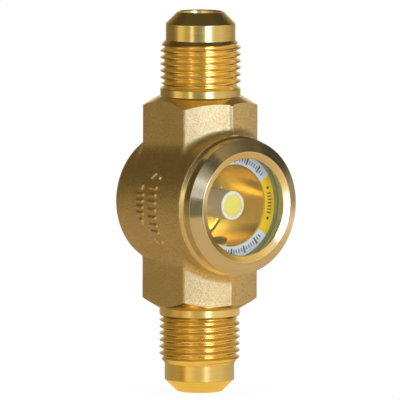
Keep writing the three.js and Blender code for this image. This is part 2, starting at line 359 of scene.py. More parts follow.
# ---- materials -----------------------------------------------------------------------------------------
def forged_brass():
    """Shot-blasted forging: even fine grain, with soft cloudy variation in tone."""
    made, g = material("forged_brass")
    x, y, z = g.place_mm()
    p = g.vector(x, y, z)
    grain = g.noise(p, 2.7, 3.0, 0.7)
    fine = g.noise(p, 6.5, 2.0, 0.6)
    cloud = g.noise(p, 0.16, 3.0, 0.5)
    tone = g.mix(g.smooth(grain, 0.38, 0.62), (0.76, 0.58, 0.255), (0.98, 0.79, 0.43))
    tone = g.mix(g.smooth(cloud, 0.35, 0.65, 0.0, 0.3), tone, (0.74, 0.54, 0.20))
    height = g.add(grain, g.mul(fine, 0.4))
    principled(
        g, color=tone, metallic=1.0, roughness=g.smooth(fine, 0.3, 0.7, 0.31, 0.41),
        normal=g.bump(height, 0.75, 0.12),
    )
    return made


def turned_brass(name, axis, base, roughness, lines, metal=1.0):
    """Turned brass: fine tool lines, of the given strength, that run round the axis it was turned about."""
    made, g = material(name)
    x, y, z = g.place_mm()
    if axis == "z":
        along, a, b = z, x, y
    else:
        along, a, b = y, x, z
    radius = g.length(a, b)
    angle = g.math("ARCTAN2", b, a)
    feed = g.vector(g.mul(along, 9.0), g.mul(radius, 9.0), g.mul(angle, 0.5))
    coarse = g.vector(g.mul(along, 2.2), g.mul(radius, 2.2), g.mul(angle, 0.8))
    tool = g.noise(feed, 1.0, 3.0, 0.7)
    wave = g.noise(coarse, 1.0, 2.0, 0.5)
    stain = g.noise(g.vector(x, y, z), 0.35, 3.0, 0.6)
    tone = g.mix(g.smooth(tool, 0.3, 0.7), tuple(0.88 * c for c in base), base)
    tone = g.mix(g.smooth(stain, 0.45, 0.75, 0.0, 0.15), tone, tuple(0.8 * c for c in base))
    height = g.add(g.mul(tool, 0.6), g.mul(wave, 0.6))
    principled(
        g, color=tone, metallic=metal, roughness=g.smooth(tool, 0.25, 0.75, roughness * 0.8, roughness * 1.35),
        anisotropic=0.4, normal=g.bump(height, lines, 0.02),
    )
    return made


def window_glass():
    """Clear glass with a faint green cast. Light reaches the inside through it without bending, so that the
    chamber is lit evenly, and everything seen through it is bent as by real glass."""
    made, g = material("window_glass")
    body = g.node("ShaderNodeBsdfGlass", {"Color": (0.965, 0.985, 0.965, 1.0), "Roughness": 0.0, "IOR": 1.47})
    clear = g.node("ShaderNodeBsdfTransparent", {"Color": (0.95, 0.97, 0.95, 1.0)})
    path = g.node("ShaderNodeLightPath")
    plain = g.math("MAXIMUM", path.outputs["Is Shadow Ray"], path.outputs["Is Diffuse Ray"])
    mixed = g.node("ShaderNodeMixShader", {0: plain, 1: body.outputs[0], 2: clear.outputs[0]})
    g.node("ShaderNodeOutputMaterial", {"Surface": mixed.outputs[0]})
    return made


def ground_glass():
    """Ground rim of the glass: pale grey-green and matt, with no clear view through it."""
    made, g = material("ground_glass")
    x, y, z = g.place_mm()
    grit = g.noise(g.vector(x, y, z), 9.0, 3.0, 0.7)
    tone = g.mix(grit, srgb(178, 178, 132), srgb(200, 198, 152))
    principled(g, color=tone, roughness=0.7, normal=g.bump(grit, 0.3, 0.02))
    return made


def scale_print():
    """Printed scale: white, a yellow segment on one side and a green one on the other, and plain marks."""
    made, g = material("scale_print")
    x, y, z = g.place_mm()
    radius = g.length(x, z)
    degrees = g.mul(g.math("ARCTAN2", z, x), 180.0 / math.pi)
    white, yellow, green = srgb(226, 228, 236), srgb(252, 200, 0), srgb(60, 150, 70)
    tone = g.mix(g.window(degrees, -37.0, 32.0, 0.25), white, yellow)
    from_left = g.sub(180.0, g.math("ABSOLUTE", degrees))
    tone = g.mix(g.smooth(from_left, 34.0, 34.5, 1.0, 0.0), tone, green)

    def bars(start, stop, pitch, inner, outer, share):
        """Evenly spaced radial bars over part of the ring, each as wide as its share of the pitch."""
        phase = g.math("FRACT", g.mul(g.sub(degrees, start), 1.0 / pitch))
        bar = g.smooth(g.math("ABSOLUTE", g.sub(phase, 0.5)), share / 2, share / 2 + 0.06, 1.0, 0.0)
        return g.mul(g.mul(bar, g.window(degrees, start, stop, 0.1)), g.window(radius, inner, outer, 0.04))

    def dot(angle, at, size):
        cx, cz = at * math.cos(math.radians(angle)), at * math.sin(math.radians(angle))
        return g.smooth(g.length(g.sub(x, cx), g.sub(z, cz)), size, size + 0.07, 1.0, 0.0)

    marks = [bars(-14.0, 14.0, 4.0, 10.45, 11.65, 0.34), dot(19.0, 11.05, 0.34), dot(-19.0, 11.05, 0.34)]
    for start, stop in ((37.0, 117.0), (-122.0, -42.0)):
        marks.append(bars(start, stop, 4.0, 10.5, 11.5, 0.30))
        marks.append(bars(start, stop, 20.0, 10.2, 12.0, 0.06))
    ink = marks[0]
    for mark in marks[1:]:
        ink = g.math("MAXIMUM", ink, mark)
    tone = g.mix(ink, tone, srgb(48, 46, 42))
    paper = g.noise(g.vector(x, y, z), 4.0, 2.0, 0.5)
    principled(g, color=tone, roughness=0.42, normal=g.bump(paper, 0.15, 0.02))
    return made


def moulded_white():
    """Moulded white polymer, very slightly see-through."""
    made, g = material("moulded_white")
    x, y, z = g.place_mm()
    p = g.vector(x, y, z)
    cloud = g.noise(p, 0.8, 2.0, 0.5)
    fine = g.noise(p, 12.0, 2.0, 0.6)
    tone = g.mix(cloud, srgb(236, 228, 215), srgb(227, 218, 203))
    principled(
        g, color=tone, roughness=0.38, subsurface_weight=0.15, subsurface_scale=0.5 * MM,
        normal=g.bump(fine, 0.2, 0.01),
    )
    return made


def indicator_paper():
    """Absorbent paper dyed yellow, with a fibrous surface."""
    made, g = material("indicator_paper")
    x, y, z = g.place_mm()
    p = g.vector(x, y, z)
    fibre = g.noise(p, 5.0, 4.0, 0.7)
    tone = g.mix(g.smooth(fibre, 0.35, 0.65), srgb(222, 201, 84), srgb(238, 219, 108))
    principled(g, color=tone, roughness=0.9, normal=g.bump(fibre, 0.6, 0.05))
    return made


def seal_rubber():
    """Pale olive rubber, faintly speckled."""
    made, g = material("seal_rubber")
    x, y, z = g.place_mm()
    speck = g.noise(g.vector(x, y, z), 6.0, 3.0, 0.6)
    tone = g.mix(speck, srgb(150, 150, 108), srgb(170, 168, 124))
    principled(g, color=tone, roughness=0.6, normal=g.bump(speck, 0.3, 0.03))
    return made


BLASTED = forged_brass()
TURNED_Z = turned_brass("turned_brass_ends", "z", (0.92, 0.71, 0.28), 0.15, 0.12)
TURNED_Y = turned_brass("turned_brass_front", "y", (0.92, 0.78, 0.50), 0.12, 0.3)
RIM = turned_brass("turned_brass_rim", "y", (0.95, 0.77, 0.38), 0.20, 0.3)
CHAMBER = turned_brass("turned_brass_chamber", "y", (1.0, 0.77, 0.28), 0.20, 0.4, 0.95)
GLASS = window_glass()
GROUND = ground_glass()
SCALE = scale_print()
WHITE = moulded_white()
PAPER = indicator_paper()
RUBBER = seal_rubber()


# ---- forging -------------------------------------------------------------------------------------------
def round_join(a, b, radius):
    """Union of two distance fields with a fillet where they meet."""
    inner = np.hypot(np.maximum(radius - a, 0), np.maximum(radius - b, 0))
    return np.maximum(radius, np.minimum(a, b)) - inner


def round_edge(a, b, radius):
    """Intersection of two distance fields with its edge rounded."""
    outer = np.hypot(np.maximum(a + radius, 0), np.maximum(b + radius, 0))
    return np.minimum(-radius, np.maximum(a, b)) + outer


def step(value, low, high):
    """Smooth rise from 0 at low to 1 at high."""
    t = np.clip((value - low) / (high - low), 0, 1)
    return t * t * (3 - 2 * t)


def bar_field(u, v, cu, cv, half_u, half_v, radius=0.15):
    """Distance to a bar with rounded corners."""
    qu, qv = np.abs(u - cu) - half_u + radius, np.abs(v - cv) - half_v + radius
    return np.hypot(np.maximum(qu, 0), np.maximum(qv, 0)) + np.minimum(np.maximum(qu, qv), 0) - radius


def chevron_field(u, v, cu, cv, size, way):
    """Distance to an arrow head that points along u, or against it where way is -1."""
    a, b = (u - cu) * way, np.abs(v - cv)
    return np.abs(a + 0.85 * b - size * 0.5) * 0.76 - 0.34 + np.maximum(b - size * 0.62, 0) * 4


def raised_marks(x, y, z):
    """Raised marks on the left side of the sight tube: a broken flow arrow with a head at each end, and a
    shorter row of plain pips beside it."""
    u, v = np.arctan2(z, -x) * MARK_R, -y
    arrow_v, pips_v = 2.5, -2.4
    shape = np.minimum(chevron_field(u, v, 6.9, arrow_v, 2.6, 1), chevron_field(u, v, -8.7, arrow_v, 2.6, -1))
    for cu in (4.4, 2.6, 0.8, -1.0, -2.8, -4.6, -6.3):
        shape = np.minimum(shape, bar_field(u, v, cu, arrow_v, 0.42, 1.55))
    for cu in (2.4, 0.9, -0.6, -2.1):
        shape = np.minimum(shape, bar_field(u, v, cu, pips_v, 0.36, 1.4))
    for cu in (4.4, -4.2):
        shape = np.minimum(shape, bar_field(u, v, cu, pips_v, 0.85, 0.85, 0.8))
    return np.where(x < -4, step(-shape, -0.22, 0.22), 0.0)


def forging(x, y, z):
    """Distance to the forged surface: two six-sided necks and the sight tube, with large fillets between."""
    ax, ay = np.sqrt(x * x + 0.12), np.abs(y)           # softens the ridge on the parting line
    chord = np.array([FLAT_X, CORNER_Y - RIDGE_Y])
    length = float(np.linalg.norm(chord))
    crown_r = length * length / (8 * CROWN) + CROWN / 2
    nx, ny = -chord[1] / length, chord[0] / length
    cx, cy = FLAT_X / 2 + nx * (CROWN - crown_r), (CORNER_Y + RIDGE_Y) / 2 + ny * (CROWN - crown_r)
    crowned = np.hypot(ax - cx, ay - cy) - crown_r
    neck = round_edge(np.abs(x) - FLAT_X, crowned, NECK_EDGE_ROUND)
    ahead = -y
    tube = np.hypot(x, z) - (TUBE_BACK_R + TUBE_DRAFT * step(ahead, -DRAFT_SPAN, DRAFT_SPAN))
    tube = round_edge(tube, y - TUBE_BACK, TUBE_EDGE_ROUND)
    tube = round_edge(tube, ahead - TUBE_FORGED_END, TUBE_FRONT_ROUND)
    field = round_join(neck, tube, TUBE_FILLET)
    field = np.maximum(field, np.abs(z) - NECK_END_Z)
    # parting line: a fine raised seam, with the two halves a little out of step
    seam = 0.10 * np.exp(-((x - 0.05) / 0.2) ** 2) - 0.05 * step(x, -0.1, 0.3)
    flash = 0.35 * np.exp(-((x / 0.55) ** 2) - ((ahead - FLASH_AT) / 0.8) ** 2) * (z > 0)
    field = field - seam * (ahead < SEAM_END) - flash - MARK_HEIGHT * raised_marks(x, y, z)
    return np.maximum(np.maximum(field, y - TUBE_BACK), np.abs(x) - SIDE_LIMIT)


def spaced(low, high, coarse, fine_bands, fine):
    """Grid lines from low to high, closer together inside the bands."""
    lines, at = [low], low
    while at < high:
        near = any(a <= at <= b for a, b in fine_bands)
        at += fine if near else coarse
        lines.append(at)
    return np.array(lines)


def surface(field, xs, ys, zs):
    """Closed mesh of the field's zero surface, one vertex in each grid cell that it passes through."""
    value = field(xs[:, None, None], ys[None, :, None], zs[None, None, :]).astype(np.float32)
    inside = value < 0
    corners = [(i, j, k) for i in (0, 1) for j in (0, 1) for k in (0, 1)]
    n = [s - 1 for s in inside.shape]
    count = np.zeros(n, np.int8)
    for i, j, k in corners:
        count += inside[i:i + n[0], j:j + n[1], k:k + n[2]]
    cell = np.argwhere((count > 0) & (count < 8))
    number = np.full(n, -1, np.int32)
    number[tuple(cell.T)] = np.arange(len(cell))
    total, hits = np.zeros((len(cell), 3)), np.zeros(len(cell))
    axes = (xs, ys, zs)
    for a in corners:
        for axis in range(3):
            if a[axis]:
                continue
            b = list(a)
            b[axis] = 1
            ia, ib = (cell + a).T, (cell + b).T
            fa, fb = value[tuple(ia)], value[tuple(ib)]
            cross = (fa < 0) != (fb < 0)
            t = np.where(cross, fa / np.where(cross, fa - fb, 1), 0)
            pa = np.stack([axes[k][ia[k]] for k in range(3)], 1)
            pb = np.stack([axes[k][ib[k]] for k in range(3)], 1)
            total += (pa + (pb - pa) * t[:, None]) * cross[:, None]
            hits += cross
    points = total / hits[:, None]
    probe, least_slope, longest_move = 0.01, 0.05, 0.1
    for _ in range(2):                                  # pulls the vertices on to the surface
        slope = np.stack([
            (field(*(points + e).T) - field(*(points - e).T)) / (2 * probe) for e in np.eye(3) * probe
        ], 1)
        move = slope * (field(*points.T) / np.maximum((slope ** 2).sum(1), least_slope))[:, None]
        points -= np.clip(move, -longest_move, longest_move)
    faces = []
    for axis in range(3):
        lo = [slice(None)] * 3
        hi = [slice(None)] * 3
        lo[axis], hi[axis] = slice(0, -1), slice(1, None)
        change = inside[tuple(lo)] != inside[tuple(hi)]
        edge = np.argwhere(change)
        out = inside[tuple(lo)][tuple(edge.T)]
        u, v = (axis + 1) % 3, (axis + 2) % 3
        ring = []
        for du, dv in ((-1, -1), (0, -1), (0, 0), (-1, 0)):
            c = edge.copy()
            c[:, u] += du
            c[:, v] += dv
            ring.append(number[tuple(c.T)])
        quad = np.stack(ring, 1)
        faces.append(np.where(out[:, None], quad, quad[:, ::-1]))
    return points, np.concatenate(faces)


# The grid is fine across the marks, the parting line and the necks' edges.
COARSE = 0.42
FINE = 0.17
xs = spaced(-18.2, 18.4, COARSE, [(-17.2, -15.2), (-11.8, -10.4), (-0.7, 0.7), (10.4, 11.8)], FINE)
ys = spaced(-14.6, 14.6, COARSE, [(-12.6, -11.4), (-8.4, 5.0), (7.0, 8.4), (11.4, 12.6)], FINE)
zs = spaced(-25.9, 26.1, COARSE, [(-11.0, 9.6)], FINE)
body = mesh_object("body_forging", *surface(forging, xs, ys, zs), [BLASTED])

# Turning cuts: neck chamfers, socket, chamber and port. Each reaches past the metal that it takes away.
OUTSIDE_R, OUTSIDE_Z, OUTSIDE_FRONT, PORT_CUT_Z, INSIDE_PORT_R = 19.0, 28.0, 20.0, 30, 4.0
slope = (COLLAR_BOTTOM_Z - SHOULDER_Z) / (math.hypot(FLAT_X, CORNER_Y) - THREAD_R)
shoulder = COLLAR_BOTTOM_Z + 0.25
upper_cut, faces = turned(rounded([
    (INSIDE_PORT_R, shoulder, 0), (SHOULDER_FLAT_R, shoulder, 0.9),
    (OUTSIDE_R, COLLAR_BOTTOM_Z - (OUTSIDE_R - SHOULDER_FLAT_R) * slope, 0),
    (OUTSIDE_R, OUTSIDE_Z, 0), (INSIDE_PORT_R, OUTSIDE_Z, 0), (INSIDE_PORT_R, shoulder, 0),
]))
cuts = [
    mesh_object("cut_upper", upper_cut, faces, [TURNED_Z]),
    mesh_object("cut_lower", upper_cut * (1, -1, -1), faces, [TURNED_Z]),
    mesh_object("cut_chamber", *turned(rounded([
        (0, FOOT_HOLE_END, 0), (FOOT_HOLE_R, FOOT_HOLE_END, 0), (FOOT_HOLE_R, CHAMBER_FLOOR, 0.15),
        (CHAMBER_R, CHAMBER_FLOOR, 0.5), (CHAMBER_R, SCALE_SEAT, 0.12), (SCALE_SEAT_R, SCALE_SEAT, 0.1),
        (SCALE_SEAT_R, SEAL_SEAT, 0), (SOCKET_R, SEAL_SEAT, 0), (SOCKET_R, OUTSIDE_FRONT, 0),
        (0, OUTSIDE_FRONT, 0),
    ]), axis="y"), [CHAMBER]),
    mesh_object("cut_port", *turned([
        (0, -PORT_CUT_Z), (PORT_R, -PORT_CUT_Z), (PORT_R, PORT_CUT_Z), (0, PORT_CUT_Z),
    ], 128), [CHAMBER]),
]
body = shade(combine(body, cuts, "DIFFERENCE"), 28)

front = turned_object("body_front_land", rounded([
    (SOCKET_R, LAND_BACK, 0), (LAND_BACK_R, LAND_BACK, 0), (LAND_BACK_R, LAND_EDGE, 0),
    (LAND_R, LAND_EDGE + 0.08, 0.05), (FACE_R, FACE, 0.08), (FACE_INNER_R, FACE, 0.0),
    (SOCKET_R, FACE - 0.4, 0), (SOCKET_R, LAND_BACK, 0),
]), RIM, axis="y")


# ---- flare ends ----------------------------------------------------------------------------------------
def threaded_rod(low, high, sides, material):
    """Right-hand thread between two heights, with its crest run down to the plain nose at the top."""
    rows_per_turn = 16
    flank = math.sqrt(3)                                # slope of a 60 degree thread's flanks
    least_r = PILOT_R - 0.2
    offsets = [THREAD_PITCH * (i / rows_per_turn - 0.5) for i in range(rows_per_turn)]

    def radius(offset, z):
        crest = THREAD_R - flank * max(0.0, abs(offset) - CREST_HALF)
        h = max(ROOT_SOFT - abs(crest - ROOT_R), 0.0) / ROOT_SOFT
        r = max(crest, ROOT_R) + h * h * ROOT_SOFT / 4
        limit = PILOT_R + max(0.0, THREAD_TOP_Z - z) * RUN_OUT
        return max(min(r, limit), least_r)

    turns = math.ceil((high - low) / THREAD_PITCH)
    rows = turns * rows_per_turn
    points, at = [], {}
    for column in range(sides):
        share = column / sides
        angle = share * 2 * math.pi
        last = rows + rows_per_turn if column == 0 else rows
        for row in range(last + 1):
            offset = offsets[row % rows_per_turn]
            z = low + (row // rows_per_turn + share) * THREAD_PITCH + offset
            r = radius(offset, z)
            at[column, row] = len(points)
            points.append((r * math.cos(angle), r * math.sin(angle), z))

    def vertex(column, row):
        return at[0, row + rows_per_turn] if column == sides else at[column, row]

    faces = [
        (vertex(c, r), vertex(c + 1, r), vertex(c + 1, r + 1), vertex(c, r + 1))
        for c in range(sides) for r in range(rows)
    ]
    bottom, upper = len(points), len(points) + 1
    points += [(0, 0, low - 2 * THREAD_PITCH), (0, 0, low + (turns + 2) * THREAD_PITCH)]
    for c in range(sides):
        faces.append((vertex(c + 1, 0), vertex(c, 0), bottom))
        faces.append((vertex(c, rows), vertex(c + 1, rows), upper))
    for r in range(rows_per_turn):
        faces.append((vertex(0, r), vertex(0, r + 1), bottom))
        faces.append((vertex(0, rows + r + 1), vertex(0, rows + r), upper))
    return mesh_object("rod", points, faces, [material])


def flare_end(name, material):
    """Upper end: collar, thread, nose and seat in one mesh, with the port through it."""
    sides = 192
    relief_r = ROOT_R - 0.02
    collar = mesh_object(name, *turned(rounded([
        (0, COLLAR_BOTTOM_Z - 1.0, 0), (THREAD_R, COLLAR_BOTTOM_Z - 1.0, 0), (THREAD_R, COLLAR_TOP_Z, 0.12),
        (relief_r, COLLAR_TOP_Z + 0.75, 0.3), (relief_r, COLLAR_TOP_Z + 2.5, 0), (0, COLLAR_TOP_Z + 2.5, 0),
    ]), sides), [material])
    nose = mesh_object("nose", *turned(rounded([
        (0, THREAD_TOP_Z - 3.0, 0), (PILOT_R, THREAD_TOP_Z - 3.0, 0), (PILOT_R, THREAD_TOP_Z + 0.2, 0),
        (PILOT_R, THREAD_TOP_Z + 0.3, 0), (PILOT_R, END_Z - PILOT_R + NOSE_TIP_R, 0.25),
        (NOSE_TIP_R, END_Z, 0.18), (0, END_Z, 0),
    ]), sides), [material])
    rod = threaded_rod(COLLAR_TOP_Z - 1.2, THREAD_TOP_Z + 0.5, sides, material)
    trim = mesh_object("trim", *turned([
        (0, COLLAR_TOP_Z - 0.6), (ROOT_R - 0.1, COLLAR_TOP_Z - 0.6), (ROOT_R + 0.1, COLLAR_TOP_Z + 0.75),
        (THREAD_R + 0.3, COLLAR_TOP_Z + 1.5), (THREAD_R + 0.3, THREAD_TOP_Z + 0.1), (0, THREAD_TOP_Z + 0.1),
    ], sides), [material])
    rod = combine(rod, [trim], "INTERSECT")
    end = combine(collar, [nose, rod], "UNION")
    bore = mesh_object("bore", *turned([                # the port, with its mouth eased
        (0, 20), (PORT_R, 20), (PORT_R, END_Z - 1.5), (PORT_R + 0.26, END_Z - 0.22),
        (PORT_R + 0.45, END_Z - 0.05), (PORT_R + 0.8, END_Z + 1.0), (0, END_Z + 1.0),
    ], sides), [CHAMBER])
    return shade(combine(end, [bore], "DIFFERENCE"), 32)


upper_end = flare_end("flare_end_upper", TURNED_Z)
lower_end = bpy.data.objects.new("flare_end_lower", upper_end.data.copy())
bpy.context.scene.collection.objects.link(lower_end)
centre_y = PIPE_Y * MM
lower_end.data.transform(
    Matrix.Translation((0, centre_y, 0)) @ Matrix.Rotation(math.pi, 4, "X") @ Matrix.Translation((0, -centre_y, 0))
)

# ---- window --------------------------------------------------------------------------------------------
bezel = turned_object("bezel", rounded([
    (BEZEL_BORE_R, BEZEL_SKIRT_END, 0), (BEZEL_SKIRT_R, BEZEL_SKIRT_END, 0.2), (BEZEL_SKIRT_R, BEZEL_BACK, 0),
    (BEZEL_R, BEZEL_BACK, 0.0), (BEZEL_R, BEZEL_EDGE, 0.1), (BEZEL_CREST_R, BEZEL_CREST, 0.2),
    (BEZEL_LIP_R, BEZEL_LIP, 0.06), (BEZEL_LIP_R, BEZEL_LIP_BACK, 0), (BEZEL_BORE_R, BEZEL_LIP_BACK, 0),
    (BEZEL_BORE_R, BEZEL_SKIRT_END, 0),
]), TURNED_Y, 256, "y")
bezel.data.materials.append(RIM)
for face in bezel.data.polygons:                        # the outer cone is finished finer than the rest
    on_cone = face.normal.x * face.center.x + face.normal.z * face.center.z > 0 and face.normal.y < -0.6
    face.material_index = 0 if on_cone else 1
washer = turned_object("slip_washer_ring", rounded([
    (WASHER_INNER_R, WASHER_BACK, 0), (WASHER_R, WASHER_BACK, 0), (WASHER_R, WASHER_FRONT, 0.05),
    (WASHER_INNER_R, WASHER_FRONT, 0.05), (WASHER_INNER_R, WASHER_BACK, 0),
]), WHITE, axis="y")
glass = turned_object("window_disc", rounded([
    (0, GLASS_BACK, 0), (GLASS_R - GLASS_CHAMFER, GLASS_BACK, 0), (GLASS_R, GLASS_BACK + GLASS_CHAMFER, 0),
    (GLASS_R, GLASS_FRONT - GLASS_CHAMFER, 0), (GLASS_R - GLASS_CHAMFER, GLASS_FRONT, 0), (0, GLASS_FRONT, 0),
]), GLASS, axis="y")
glass.data.materials.append(GROUND)
for face in glass.data.polygons:                        # the rim is ground, the two faces are polished
    if abs(face.normal.y) < 0.5:
        face.material_index = 1
seal = turned_object("flat_seal", rounded([
    (SEAL_INNER_R, SEAL_BACK, 0), (SEAL_R, SEAL_BACK, 0.1), (SEAL_R, SEAL_FRONT, 0.2),
    (SEAL_INNER_R, SEAL_FRONT, 0.2), (SEAL_INNER_R, SEAL_BACK, 0),
]), RUBBER, axis="y")
scale = turned_object("printed_ring", rounded([
    (SCALE_INNER_R, SCALE_BACK, 0), (SCALE_R, SCALE_BACK, 0), (SCALE_R, SCALE_FRONT, 0.03),
    (SCALE_INNER_R, SCALE_FRONT, 0.03), (SCALE_INNER_R, SCALE_BACK, 0),
]), SCALE, axis="y")
post = turned_object("post", rounded([
    (0, POST_FOOT_END, 0), (POST_FOOT_R, POST_FOOT_END, 0.1), (POST_FOOT_R, POST_BACK, 0), (POST_R, POST_BACK, 0.1),
    (POST_R, POST_FRONT, 0.18), (CUP_R, POST_FRONT, 0.05), (CUP_R, CUP_FLOOR, 0), (0, CUP_FLOOR, 0),
]), WHITE, 128, "y")
paper = turned_object("paper_disc", rounded([
    (0, PAPER_BACK, 0), (PAPER_R, PAPER_BACK, 0), (PAPER_R, PAPER_EDGE, 0.06),
    (PAPER_R / 2, PAPER_CENTRE - 0.01, 0), (0, PAPER_CENTRE, 0),
]), PAPER, 128, "y")

parts = [
    (body, "body", "forged_brass"),
    (front, "body", "forged_brass"),
    (upper_end, "body", "forged_brass"),
    (lower_end, "body", "forged_brass"),
    (bezel, "bezel_ring", "turned_brass"),
    (washer, "slip_washer", "washer_polymer"),
    (glass, "sight_window", "clear_glass"),
    (seal, "window_seal", "seal_rubber"),
    (scale, "scale_ring", "printed_scale"),
    (post, "indicator_post", "post_polymer"),
    (paper, "moisture_paper", "indicator_paper"),
]
for piece, node, slot in parts:
    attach(piece, "root")
    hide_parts(node)

# ---- camera --------------------------------------------------------------------------------------------
VIEW_AZIMUTH, VIEW_ELEVATION, VIEW_ROLL = -37.9, 5.9, 0.2
VIEW_DISTANCE = 2.2
VIEW_WIDTH = 0.0947                                     # how much the picture takes in at the pipe axis
SENSOR_MM = 36
camera = bpy.data.objects.new("camera", bpy.data.cameras.new("camera"))
bpy.context.scene.collection.objects.link(camera)
bpy.context.scene.camera = camera
a, e = math.radians(VIEW_AZIMUTH), math.radians(VIEW_ELEVATION)
back = Vector((math.sin(a) * math.cos(e), -math.cos(a) * math.cos(e), math.sin(e)))
camera.location = Vector((0, PIPE_Y * MM, 0)) + back * VIEW_DISTANCE
camera.rotation_mode = "QUATERNION"
camera.rotation_quaternion = (-back).to_track_quat("-Z", "Y") @ Quaternion((0, 0, 1), math.radians(VIEW_ROLL))
camera.data.sensor_width = SENSOR_MM
camera.data.lens = SENSOR_MM * VIEW_DISTANCE / VIEW_WIDTH
camera.data.shift_x, camera.data.shift_y = -0.0001, 0.0028
camera.data.clip_start, camera.data.clip_end = 0.05, 20

# ---- floor ---------------------------------------------------------------------------------------------
# The part's metal mirrors a table top that glows instead of being lit: the light and shade on it, as the metal
# sees them, are painted by heading, distance and viewing angle. A small dark card, a painted dark reflection,
# stands
# 90 mm from the middle of the table, a little to the right of the camera's side. Seen directly, the table is plain
# white with a trace of painted shadow, and the card is left out.
FLOOR_Z = -END_Z * MM
TABLE_R, TABLE_SIDES = 0.195, 128
CARD_AWAY = 0.09
CARD_TURNS = (4.0, 21.0)                                # degrees to the right of the camera's side
CARD_LOW, CARD_HIGH = 0.019, 0.059                      # above the table
GROUND_TINT = (0.60, 0.455, 0.28)                       # the table top as the metal mirrors it
angles = np.arange(TABLE_SIDES) * 2 * math.pi / TABLE_SIDES
floor_points = [(TABLE_R * math.cos(t), TABLE_R * math.sin(t), FLOOR_Z) for t in angles]
left, right = (math.radians(VIEW_AZIMUTH + turn_at) for turn_at in CARD_TURNS)
for t, height in ((left, CARD_LOW), (right, CARD_LOW), (right, CARD_HIGH), (left, CARD_HIGH)):
    floor_points.append((CARD_AWAY * math.sin(t), -CARD_AWAY * math.cos(t), FLOOR_Z + height))
floor_mesh = bpy.data.meshes.new("floor")
floor_mesh.from_pydata(floor_points, [], [list(range(TABLE_SIDES)), [TABLE_SIDES + i for i in range(4)]])
floor = bpy.data.objects.new("floor", floor_mesh)
bpy.context.scene.collection.objects.link(floor)


def turned_from_camera(graph, to_right, to_front):
    """Heading in degrees: 0 on the camera's side, growing anticlockwise seen from above."""
    heading = graph.mul(graph.math("ARCTAN2", to_right, to_front), 180 / math.pi)
    return graph.math("WRAP", graph.sub(heading, VIEW_AZIMUTH), 180.0, -180.0)


def dimmed(graph, heading):
    """The table as the metal mirrors it, with painted shade that darkens it towards the side and the back of the
    sight tube.
    """
    shade_left = graph.smooth(heading, -70.0, -25.0, 0.64, 1.0)
    shade_back = graph.smooth(heading, 135.0, 165.0, 1.0, 0.64)
    return graph.mix(graph.mul(shade_left, shade_back), (0.0, 0.0, 0.0), GROUND_TINT)


floor_material, g = material("pale_floor")
# Seen directly, the table is white emission with a painted contact shadow where ambient occlusion finds the part
# close by.
occluded = g.node("ShaderNodeAmbientOcclusion", {"Distance": 0.03}, samples=8).outputs["AO"]
seen = g.mix(g.smooth(occluded, 0.3, 0.95), 0.97, 1.0)
path = g.node("ShaderNodeLightPath")
shown = g.node("ShaderNodeEmission", {"Color": seen, "Strength": 1.0})
ix, iy, iz = g.parts(g.node("ShaderNodeNewGeometry").outputs["Incoming"])
heading = turned_from_camera(g, g.mul(ix, -1.0), iy)
# Painted sheen: the table's glancing reflection of the studio, by heading, where the metal sees it at a shallow
# angle.
sheen = g.ramp_between(heading, -180, 180, [            # the table at a shallow angle
    (-180, (0.50, 0.42, 0.30)), (-128, (0.45, 0.38, 0.27)), (-106, (0.43, 0.35, 0.21)), (-89, (0.45, 0.36, 0.18)),
    (-76, (0.54, 0.38, 0.14)), (-68, (0.46, 0.27, 0.03)), (-58, (0.48, 0.28, 0.03)), (-52, (0.66, 0.44, 0.12)),
    (-44, (1.05, 0.80, 0.34)), (-35, (1.10, 0.90, 0.48)), (-24, (0.92, 0.74, 0.36)), (-8, (0.76, 0.60, 0.28)),
    (8, (0.82, 0.68, 0.36)), (15, (1.05, 1.0, 0.75)), (22, (1.3, 1.35, 1.3)), (27, (1.3, 1.35, 1.3)),
    (34, (0.92, 0.84, 0.58)), (52, (0.84, 0.72, 0.47)), (74, (0.84, 0.70, 0.46)), (92, (0.70, 0.58, 0.40)),
    (128, (0.57, 0.50, 0.42)), (180, (0.50, 0.42, 0.30)),
])
px, py, _ = g.parts(g.node("ShaderNodeNewGeometry").outputs["Position"])
away = g.length(px, py)
# Painted bounce light: within 9 to 20 mm of the pipe axis the table turns brass gold, standing in for light the
# part throws on it.
table = g.mix(g.smooth(away, 0.009, 0.020), (0.92, 0.68, 0.24), dimmed(g, heading))
table = g.mix(g.smooth(iz, 0.10, 0.22), sheen, table)
# Painted sheen: far from the part, at headings past about 30 degrees, the table is lighter and warmer.
distant = g.mul(g.smooth(away, 0.07, TABLE_R), g.smooth(heading, 27.0, 37.0))
table = g.mix(distant, table, g.mix(g.smooth(heading, 50.0, 110.0), (1.05, 0.92, 0.68), (0.82, 0.70, 0.54)))
# Painted shade: rays that come out of the chamber through the glass see the table darker and bluer.
inside = g.smooth(path.outputs["Transmission Depth"], 2.0, 4.0)
shaded_inside = g.node("ShaderNodeVectorMath", {0: table, 1: (0.28, 0.34, 0.55)}, operation="MULTIPLY").outputs[0]
lit = g.node("ShaderNodeEmission", {"Color": g.mix(inside, table, shaded_inside), "Strength": 1.0})
mixed = g.node("ShaderNodeMixShader", {0: path.outputs["Is Camera Ray"], 1: lit.outputs[0], 2: shown.outputs[0]})
g.node("ShaderNodeOutputMaterial", {"Surface": mixed.outputs[0]})
floor_material.cycles.emission_sampling = "NONE"

